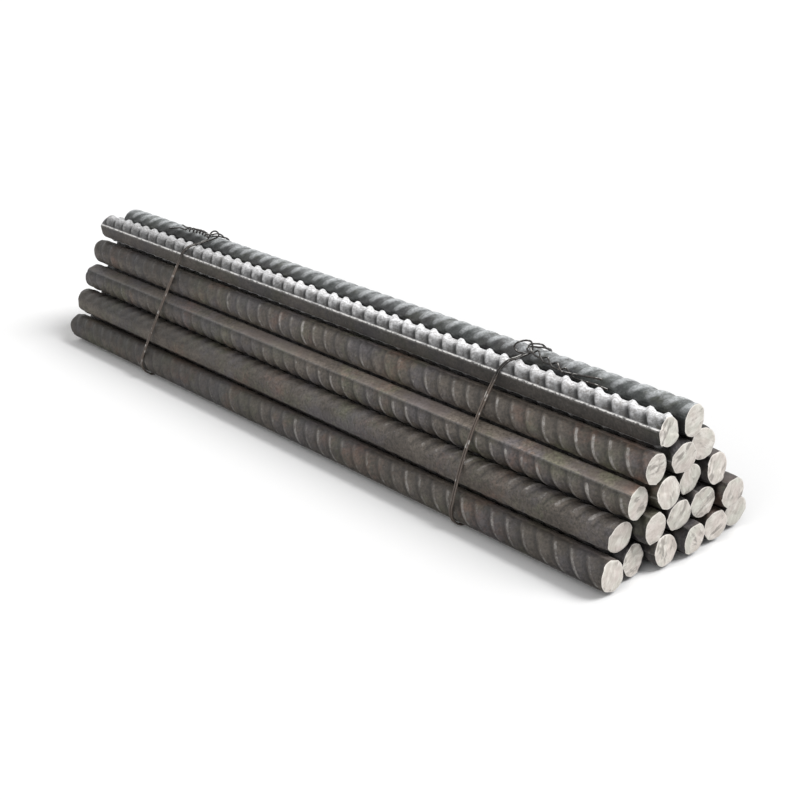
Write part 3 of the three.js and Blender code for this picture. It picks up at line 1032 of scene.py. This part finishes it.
@dataclass
class BarPile:
    """The twenty bars, bottom row first and each row from left to right as seen from the front.

    rolls are the directions that a bar's first flat faces, in degrees from +Y towards +Z, and own
    holds what sets a bar apart, by row and place in it.
    """

    rolls: tuple[tuple[float, ...], ...] = (
        (70, 25, 145, 90, 35, 150),
        (180, 88, 30, 150, 95),
        (103, 32, 148, 90),
        (69, 28, 150),
        (7, 180),
    )
    own: dict[tuple[int, int], dict[str, object]] = field(
        default_factory=lambda: {
            (0, 0): {"phase": 91.1, "leads": (57.0, -30.0), "edge_heights": (0.1, 0.7, 0.7, 0.1)},
            (1, 0): {"phase": 86.5, "rib_height": 0.8, "edge_heights": (0.8, 0.1, 0.1, 0.1)},
            (2, 0): {"phase": 98.5, "leads": (32.0, -30.0)},
            (3, 0): {"phase": 88.8, "leads": (42.0, -30.0), "edge_heights": (0.1,) * 4},
            (4, 0): {
                "phase": 87.7, "leads": (57.0, -30.0), "core_diameter": 22.6,
                "edge_heights": (0.1, 0.95, 0.95, 0.1),
            },
            (4, 1): {
                "phase": 96.6, "core_diameter": 25.6, "rib_height": 0.9,
                "edge_heights": (0.7, 0.7, 0.7, 0.1),
            },
        }
    )
    cut_ranges: tuple[Span, ...] = ((0.6, 1.8), (0, 360), (-0.3, 0.6))
    seed: int = 7

    def build(self) -> None:
        """Rolls and dresses every bar."""
        form = BarRecipe()
        form.build()
        skins = {skin: finish.material(skin.value) for skin, finish in FINISHES.items()}
        face = ShearedFace().material("bar_end_sheared")
        chance = random.Random(self.seed)
        for row, rolls in enumerate(self.rolls):
            for column, roll in enumerate(rolls):
                cuts = [tuple(chance.uniform(*limits) for limits in self.cut_ranges) for _ in range(2)]
                bar = Bar(
                    node=f"bar_row{row + 1}_{column + 1}", roll=roll, phase=chance.uniform(0, form.rib_pitch),
                    skin=self._skin(row, column), detail=self._detail(row, column),
                    seed=10 * row + column, front_cut=cuts[0], back_cut=cuts[1],
                )
                replace(bar, **self.own.get((row, column), {})).build(form, skins, face)

    def _detail(self, row: int, column: int) -> Detail:
        """Bars inside the pile are meshed more coarsely."""
        inside = row > 0 and 0 < column < len(self.rolls[row]) - 1
        return Detail.INNER if inside else Detail.OUTER

    def _skin(self, row: int, column: int) -> Skin:
        """The two top bars are rubbed bright; those behind the near side keep dark scale and painted shade.
        """
        near = (Skin.GRIMY, Skin.CAKED, Skin.DULL, Skin.DULL, Skin.RUBBED)[row]
        return near if column == 0 else Skin.GREENED if row == len(self.rolls) - 1 else Skin.SCALED


# --- Ties ---


def through(points: Sequence[Vector], steps: int) -> list[Vector]:
    """A centripetal Catmull-Rom curve through points.

    Args:
        points: The points in order.
        steps: Stretches between two points.

    Returns:
        The curve's stations, ends included.
    """
    ends = [2 * points[0] - points[1], *points, 2 * points[-1] - points[-2]]
    made = []
    for i in range(len(points) - 1):
        before, start, end, after = ends[i : i + 4]
        gaps = [max((b - a).length ** 0.5, 1e-4) for a, b in ((before, start), (start, end), (end, after))]
        leave = (start - before) / gaps[0] - (end - before) / (gaps[0] + gaps[1]) + (end - start) / gaps[1]
        arrive = (end - start) / gaps[1] - (after - start) / (gaps[1] + gaps[2]) + (after - end) / gaps[2]
        leave, arrive = leave * gaps[1], arrive * gaps[1]
        square = 3 * (end - start) - 2 * leave - arrive
        cube = 2 * (start - end) + leave + arrive
        made += [start + (leave + (square + cube * t) * t) * t for t in (i / steps for i in range(steps))]
    return [*made, points[-1].copy()]


def even(path: Sequence[Vector], count: int) -> tuple[list[Vector], list[Vector]]:
    """Evenly spaced stations on a polyline.

    Args:
        path: The polyline.
        count: How many stretches.

    Returns:
        The stations and the unit tangents there.
    """
    lengths = [0.0]
    for a, b in zip(path, path[1:]):
        lengths.append(lengths[-1] + (b - a).length)
    stations, tangents = [], []
    segment = 0
    for i in range(count + 1):
        target = lengths[-1] * i / count
        while segment < len(path) - 2 and lengths[segment + 1] < target:
            segment += 1
        a, b = path[segment], path[segment + 1]
        share = (target - lengths[segment]) / (lengths[segment + 1] - lengths[segment])
        stations.append(a.lerp(b, share))
        tangents.append((b - a).normalized())
    return stations, tangents


@dataclass(frozen=True)
class Knot:
    """Where a tie is closed and how its ends are twisted, in wire diameters and degrees.

    Points are (along, across, up) from its foot.
    """

    at: Span
    lift_off: float
    twist_radius: float
    twist_pitch: float
    twist_start: float
    eye: tuple[Point, ...]
    closings: tuple[tuple[Point, ...], ...]
    pigtail: tuple[Point, ...]
    tails: tuple[tuple[Point, ...], ...]


FRONT_KNOT = Knot(
    at=(6, 1),
    lift_off=75,
    twist_radius=1.45,
    twist_pitch=13.4,
    twist_start=40,
    eye=(
        (-1.25, -5, 0.2), (-1.3, -2.25, 0), (-3.3, -0.6, -0.65), (-6.55, -0.35, -1.15), (-9.2, -0.25, -1.3),
        (-11.05, -0.05, -0.6), (-11.7, 0.1, 0.9), (-10.6, 0.4, 2.6), (-7.4, 0.75, 4.5), (-3, 1.25, 5.9),
        (-0.5, 1.25, 5.75), (0.45, 1.05, 4.25), (0.9, 0.6, 2.4), (0.55, -0.85, 0.6), (0.2, -3.1, 0.25),
        (-0.05, -5.6, 0.15),
    ),
    closings=(
        (
            (1.2, 7.5, 2.85), (0.5, 4.4, 4.15), (-0.7, 2.25, 4.4), (-1, 0.75, 4.45), (-0.35, -0.6, 4.65),
            (1, -1.7, 4.5), (2.25, -2.1, 3.65), (3.45, -2.1, 2.15),
        ),
        (
            (2.6, 7.5, 1.6), (0.9, 4.7, 2.25), (-0.9, 2.5, 2.75), (-1.9, 0.75, 2.9), (-1.5, -0.8, 2.5),
            (-0.35, -1.7, 2.15), (1.15, -1.55, 1.4), (2.4, -0.35, 1.15), (3.55, 0.7, 1.95),
        ),
    ),
    pigtail=((4.7, -0.6, 1.85), (9.9, -0.6, 0.15), (16.45, -0.6, -1), (23.45, -0.6, -2.3)),
    tails=(
        (
            (25.6, 0.55, -2.55), (27.8, -0.25, -3.85), (30.6, -0.6, -4.35), (35.6, -0.6, -4.6),
            (44.4, -0.5, -4.25), (52.5, -0.35, -4.65),
        ),
        (
            (27.2, -1.3, -2.75), (31.55, -0.05, -2.75), (36.55, 1.1, -2.6), (41.9, 1.9, -2.15),
            (46.55, 2.25, -1.85),
        ),
    ),
)
BACK_KNOT = Knot(
    at=(10, 1),
    lift_off=75,
    twist_radius=1.15,
    twist_pitch=9.6,
    twist_start=40,
    eye=(
        (-0.25, -5.6, 0.25), (-0.5, -2.5, 0.5), (-2.8, -0.5, 1.25), (-5.95, 0.1, 2.65), (-8.65, 0.7, 4),
        (-9.9, 1, 5.1), (-9.8, 1.25, 6.2), (-8.25, 1.4, 7.25), (-4.75, 1.3, 7.15), (-1, 1.2, 5.1),
        (0, 0.5, 2.75), (0.7, -1.1, 1.15), (1.15, -3.1, 0.45), (1.05, -5.6, 0.25),
    ),
    closings=(
        (
            (-3.5, 7.5, 2.75), (-4.05, 4.4, 4.5), (-3.45, 2.35, 4.7), (-3.1, 0.85, 4.6), (-2.6, -0.55, 4.75),
            (-1.25, -1.45, 4.95), (1, -1.45, 4.7), (2.6, -1.1, 3.7),
        ),
        (
            (-1.95, 7.5, 1.4), (-3.55, 4.7, 2.6), (-4.45, 2.5, 3.45), (-4.25, 0.85, 3.75), (-3.4, -0.45, 3.5),
            (-1.5, -1.2, 3.25), (0.25, -1.4, 2.95), (1.6, -0.35, 2.65), (2.75, 0.8, 3.1),
        ),
    ),
    pigtail=(
        (3.85, 0.3, 3.4), (8.75, 1.5, 3.25), (14.7, 2.6, 2.6), (20.85, 3.3, 1.9), (26.45, 3.6, 1.4),
        (31.65, 3.6, 0.9),
    ),
    tails=(((37.5, 2.6, 0.65), (44.4, 2, -0.6), (50.6, 1.6, -1.85)), ((35, 4.5, 1.5), (38.75, 5, 1.9))),
)


@dataclass
class PileOutline:
    """The pile's four corner bars, from the top right clockwise, read off the frame."""

    radius: float = BAR_DIAMETER / 2
    bars: tuple[str, ...] = ("bar_row5_2", "bar_row1_6", "bar_row1_1", "bar_row5_1")

    def corners(self) -> list[Vector]:
        """Their centres in the YZ plane, in millimetres."""
        middles = [sum(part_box(name), Vector()) / 2 / MM for name in self.bars]
        return [Vector((middle.y, middle.z)) for middle in middles]


@dataclass
class WireSweep:
    """Gives a line of edges the round section of a wire, with closed ends, by Geometry Nodes."""

    sides: int = 12
    wander: float = 0.05
    wander_scale: float = 90.0
    wander_seeds: Point = (0.0, 4.0, 8.0)
    recipe: Recipe = field(init=False)

    def build(self) -> None:
        """Builds the tree."""
        self.recipe = Recipe("wire_sweep", Float="radius wander", Int="sides", Material="finish")
        graph, given = self.recipe.graph, self.recipe.given
        feeds = {"Resolution": given.sides, "Radius": given.radius}
        section = graph.result("GeometryNodeCurvePrimitiveCircle", 0, feeds)
        place = graph.result("GeometryNodeInputPosition", 0)
        shaky = [place.noise(self.wander_scale, 1.0, seed) - 0.5 for seed in self.wander_seeds]
        offset = graph.vector(*[part * given.wander * 2.0 for part in shaky])
        self.recipe.finish(
            given.geometry,
            graph.node("GeometryNodeMeshToCurve"),
            graph.node("GeometryNodeSetPosition", {"Offset": offset}),
            graph.node("GeometryNodeCurveToMesh", {1: section, "Fill Caps": True}),
            graph.node("GeometryNodeSetShadeSmooth"),
            graph.node("GeometryNodeRealizeInstances"),
            graph.node("GeometryNodeSetMaterial", {"Material": given.finish}),
        )


@dataclass
class TieWire:
    """One tie: a wire folded double, drawn round the pile, passed through its eye and twisted.

    corners are where it meets and leaves each corner bar and bows how far it strays between them,
    in millimetres along X from the tie's own place.
    """

    node: str
    end: int
    corners: tuple[Span, ...]
    bows: Point
    knot: Knot
    from_middle: float = 235.0
    diameter: float = 1.6
    seat_gap: float = 0.3
    strand_gap: float = 0.5
    twist_steps: int = 24
    axis_steps: int = 30
    corner_step: float = 5.0
    span_steps: int = 16
    lead_steps: int = 8
    outline: PileOutline = field(default_factory=PileOutline)

    @property
    def place(self) -> float:
        """Where the tie is along X."""
        return self.end * self.from_middle

    @property
    def wrap_radius(self) -> float:
        """Of the wire's centre round a corner bar."""
        return self.outline.radius + self.seat_gap + self.diameter / 2

    def _from_foot(self, points: Sequence[Point]) -> list[Vector]:
        """Turns points given from the knot's foot into the bundle's frame.

        Args:
            points: The points, in wire diameters.

        Returns:
            The points in millimetres.
        """
        x, y = self.knot.at
        foot = Vector((self.place + x, y, self.outline.corners()[3].y + self.wrap_radius))
        return [foot + Vector((self.end * along, across, up)) * self.diameter for along, across, up in points]

    def _join(
        self, before: Sequence[Vector], points: Sequence[Point], after: Sequence[Vector]
    ) -> list[Vector]:
        """A lead that goes on smoothly from some stations and into others, without those.

        Args:
            before: Stations that it leaves from.
            points: Points of its own, from the knot's foot.
            after: Stations that it runs into, if any.

        Returns:
            Its stations.
        """
        made = through([*before, *self._from_foot(points), *after], self.lead_steps)
        last = len(made) - (self.lead_steps * (len(after) - 1) + 1 if after else 0)
        return made[self.lead_steps * (len(before) - 1) + 1 : last]

    def _wrap(self, offset: float) -> list[Vector]:
        """One strand round the pile, from the top right bar down and round to the top left.

        Args:
            offset: Of the strand along the bars.

        Returns:
            Its stations.
        """
        bars = self.outline.corners()
        slope = math.degrees(math.atan2(bars[3].y - bars[2].y, bars[3].x - bars[2].x))
        turns = (self.knot.lift_off, 90 - slope, -90, slope - 270, -270)
        stations: list[Vector] = []
        for corner, bar in enumerate(bars):
            start, end = turns[corner : corner + 2]
            meeting, leaving = (self.place + place + offset for place in self.corners[corner])
            if stations:
                leave = stations[-1].copy()
                span = Vector((meeting - leave.x, bar.x - bars[corner - 1].x, bar.y - bars[corner - 1].y))
                for share in (i / self.span_steps for i in range(1, self.span_steps)):
                    bow = Vector((self.bows[corner - 1] * 4 * share * (1 - share), 0, 0))
                    stations.append(leave + span * share + bow)
            steps = math.ceil((start - end) / self.corner_step)
            for share in (i / steps for i in range(steps + 1)):
                angle = math.radians(start + (end - start) * share)
                arm = Vector((0, math.cos(angle), math.sin(angle))) * self.wrap_radius
                stations.append(Vector((meeting + (leaving - meeting) * share, bar.x, bar.y)) + arm)
        return stations

    def _pigtail(self) -> list[list[Vector]]:
        """The two strands twisted round one axis.

        Returns:
            The stations of each, from the knot outwards.
        """
        axis = through(self._from_foot(self.knot.pigtail), self.axis_steps)
        length = sum((b - a).length for a, b in zip(axis, axis[1:]))
        turns = length / (self.knot.twist_pitch * self.diameter)
        steps = round(turns * self.twist_steps)
        across, radius = Vector((0, 1, 0)), self.knot.twist_radius * self.diameter
        strands: list[list[Vector]] = [[], []]
        for i, (place, tangent) in enumerate(zip(*even(axis, steps))):
            first = (across - tangent * across.dot(tangent)).normalized()
            second = tangent.cross(first) * self.end
            angle = math.radians(self.knot.twist_start) + TURN * turns * i / steps
            arm = (first * math.cos(angle) + second * math.sin(angle)) * radius
            strands[0].append(place - arm)
            strands[1].append(place + arm)
        return strands

    def _strand(self, index: int) -> list[Vector]:
        """One half of the tie, from its free end through the pigtail and eye and round the pile.

        Args:
            index: 0 for the strand further from the pigtail, 1 for the other.

        Returns:
            Its stations.
        """
        side = -1 if index == 0 else 1
        wrap = self._wrap(side * self.end * (self.diameter + self.strand_gap) / 2)
        twist = self._pigtail()[index]
        closing = self._join([wrap[1], wrap[0]], self.knot.closings[index], twist[:2])
        tail = self._join(twist[-2:], self.knot.tails[index], [])
        return [*reversed(tail), *reversed(twist), *reversed(closing), *wrap]

    def build(self, sweep: WireSweep, finish: Material) -> None:
        """Makes the wire, from one free end to the other, and lets it stand for its solid.

        Args:
            sweep: The tree that gives a line its thickness.
            finish: The wire's material.
        """
        first, second = self._strand(0), self._strand(1)
        eye = self._join(first[-2:], self.knot.eye, second[:-3:-1])
        stations = [point * MM for point in (*first, *eye, *reversed(second))]
        line = bpy.data.meshes.new(self.node + "_line")
        line.from_pydata(stations, [(i, i + 1) for i in range(len(stations) - 1)], [])
        radius, wander = self.diameter / 2 * MM, sweep.wander * MM
        name = "twisted_" + self.node
        piece = sweep.recipe.run(name, line, radius=radius, wander=wander, sides=sweep.sides, finish=finish)
        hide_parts(self.node)
        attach(piece, BODY)
        LOG.info("%s: %d stations, %d faces", piece.name, len(stations), len(piece.data.polygons))


@dataclass
class Ties:
    """The front and the back tie."""

    front: TieWire = field(
        default_factory=lambda: TieWire(
            "tie_wire_front", 1, ((8.6, 2.6), (3, 2), (0, -0.4), (-1.5, 4.5)), (2, 0, -5.5), FRONT_KNOT
        )
    )
    back: TieWire = field(
        default_factory=lambda: TieWire(
            "tie_wire_back", -1, ((11, 5.5), (0, -2), (-5, -5.5), (1.5, 9.5)), (-2, 0, -1), BACK_KNOT
        )
    )

    def build(self) -> None:
        """Makes both ties."""
        sweep = WireSweep()
        sweep.build()
        finish = AnnealedWire().material("tie_wire_annealed")
        for tie in (self.front, self.back):
            tie.build(sweep, finish)


# --- Studio ---


def direction(azimuth: float, elevation: float) -> Vector:
    """The way to what stands at an azimuth, from -Y towards +X, and an elevation, both in degrees."""
    turn, rise = math.radians(azimuth), math.radians(elevation)
    return Vector((math.sin(turn) * math.cos(rise), -math.cos(turn) * math.cos(rise), math.sin(rise)))


@dataclass(frozen=True)
class Lamp:
    """A broad far lamp that shines on the bundle.

    Its angles are in degrees, of which spread is the one that it fills as seen from the bundle. Its
    strength is the light on a surface that faces it, in watts to the square metre.
    """

    name: str
    azimuth: float
    elevation: float
    spread: float
    strength: float

    def build(self) -> None:
        """Adds the lamp."""
        data = bpy.data.lights.new(self.name, "SUN")
        data.energy = self.strength
        data.angle = math.radians(self.spread)
        lamp = placed(self.name, data)
        lamp.rotation_mode = "QUATERNION"
        lamp.rotation_quaternion = (-direction(self.azimuth, self.elevation)).to_track_quat("-Z", "Y")


@dataclass(frozen=True)
class FloorPaper(Finish):
    """Plain paper that is white when seen directly, and greyer where it lights the bundle."""

    seen: Colour = (1.0, 1.0, 1.0)
    bounce: Colour = (0.60, 0.60, 0.60)
    roughness: float = 0.9
    gloss: float = 0.1

    def feeds(self, graph: ShaderGraph) -> Feeds:
        """Fields and values for the shader's inputs."""
        seen = graph.result("ShaderNodeLightPath", "Is Camera Ray")
        colour = graph.blend(seen, self.bounce, self.seen)
        return {"Base Color": colour, "Roughness": self.roughness, "Specular IOR Level": self.gloss}


@dataclass
class Studio:
    """Camera, pale floor, soft lamps and a plain surround."""

    azimuth: float = 50.772
    elevation: float = 23.395
    roll: float = -3.2433
    lens: float = 67.404
    sensor: float = 36.0
    stand: Point = (1045.605, -794.888, 583.241)
    floor_size: float = 60.0
    ambient: float = 0.38
    lamps: tuple[Lamp, ...] = (
        Lamp("lamp_behind", azimuth=130.0, elevation=50.0, spread=30.0, strength=2.22),
        Lamp("lamp_near", azimuth=20.0, elevation=46.0, spread=40.0, strength=0.45),
        Lamp("lamp_low", azimuth=10.0, elevation=8.0, spread=40.0, strength=0.58),
    )

    def build(self) -> None:
        """Sets up everything that isn't part of the bundle."""
        self._camera()
        self._floor()
        self._surround()
        for lamp in self.lamps:
            lamp.build()

    def _camera(self) -> None:
        """Stands the camera and turns it by its azimuth, elevation and roll."""
        back = direction(self.azimuth, self.elevation)
        right = (-back).cross(Vector((0, 0, 1))).normalized()
        turned = Matrix((right, right.cross(-back), back)).transposed()
        turned @= Matrix.Rotation(math.radians(self.roll), 3, "Z")
        data = bpy.data.cameras.new("camera")
        data.lens = self.lens
        data.sensor_fit = "HORIZONTAL"
        data.sensor_width = self.sensor
        data.clip_end = 2 * self.floor_size
        camera = placed("camera", data)
        camera.matrix_world = Matrix.Translation(Vector(self.stand) * MM) @ turned.to_4x4()
        bpy.context.scene.camera = camera

    def _floor(self) -> None:
        """Lays a wide plain floor at Z = 0."""
        half = self.floor_size / 2
        mesh = bpy.data.meshes.new("floor")
        corners = [(-half, -half, 0), (half, -half, 0), (half, half, 0), (-half, half, 0)]
        mesh.from_pydata(corners, [], [(0, 1, 2, 3)])
        floor = placed("floor", mesh)
        mesh.materials.append(FloorPaper().material("floor_paper"))

    def _surround(self) -> None:
        """Sets up a surround that is white when seen, directly or in a gloss, and dimmer as a light."""
        world = bpy.data.worlds.new("surround")
        bpy.context.scene.world = world
        world.use_nodes = True
        world.node_tree.nodes.clear()
        graph = ShaderGraph(world.node_tree)
        rays = graph.node("ShaderNodeLightPath").outputs
        kinds = ("Camera", "Glossy", "Transmission")
        camera, glossy, sent = (Field(graph, rays[f"Is {kind} Ray"]) for kind in kinds)
        strength = camera.at_least(glossy).at_least(sent).pick(self.ambient, 1.0)
        light = graph.result("ShaderNodeBackground", 0, {"Color": (1.0, 1.0, 1.0), "Strength": strength})
        graph.node("ShaderNodeOutputWorld", {"Surface": light})


def main() -> None:
    """Builds the bundle and its studio in order."""
    logging.basicConfig(level=logging.INFO, format="%(name)s: %(message)s")
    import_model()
    bpy.context.scene.view_settings.view_transform = "Standard"
    Studio().build()
    Effects().build()
    BarPile().build()
    Ties().build()


if __name__ == "__main__":
    main()
